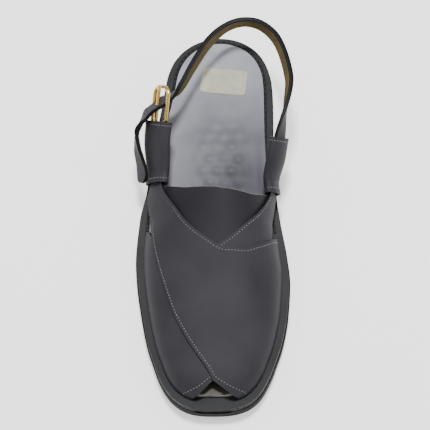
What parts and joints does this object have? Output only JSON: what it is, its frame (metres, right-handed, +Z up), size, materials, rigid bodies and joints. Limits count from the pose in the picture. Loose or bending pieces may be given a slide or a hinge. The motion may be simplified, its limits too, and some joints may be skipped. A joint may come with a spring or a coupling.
{
  "type": "peshawari chappal",
  "caption": "Right leather sandal with crossed forefoot panels over a hollow toe, an open heel, and a back strap fastened by an oval wire buckle.",
  "frame": {"origin": "on the floor under the middle of the heel's round end, on the heel's flat underside", "axes": "+Z up, +Y towards the back of the heel with the toe along -Y, +X towards the inner (medial) side of this right shoe"},
  "size_m": [0.1155, 0.2986, 0.071],
  "materials": {
    "grey_leather": "smooth satin grey leather",
    "dark_leather": "smooth darker grey leather",
    "black_rubber": "matt black",
    "welt_leather": "dark grey, waxed",
    "insole_leather": "light blue-grey satin, padded",
    "brass": "polished"
  },
  "bodies": {
    "root": {"outsole": "black_rubber", "heel": "black_rubber", "welt": "welt_leather", "insole": "insole_leather", "upper": "grey_leather", "tongue": "dark_leather", "lateral_sleeve": "grey_leather", "medial_sleeve": "grey_leather", "back_strap": "grey_leather", "buckle_frame": "brass", "buckle_prong": "brass"}
  },
  "joints": []
}
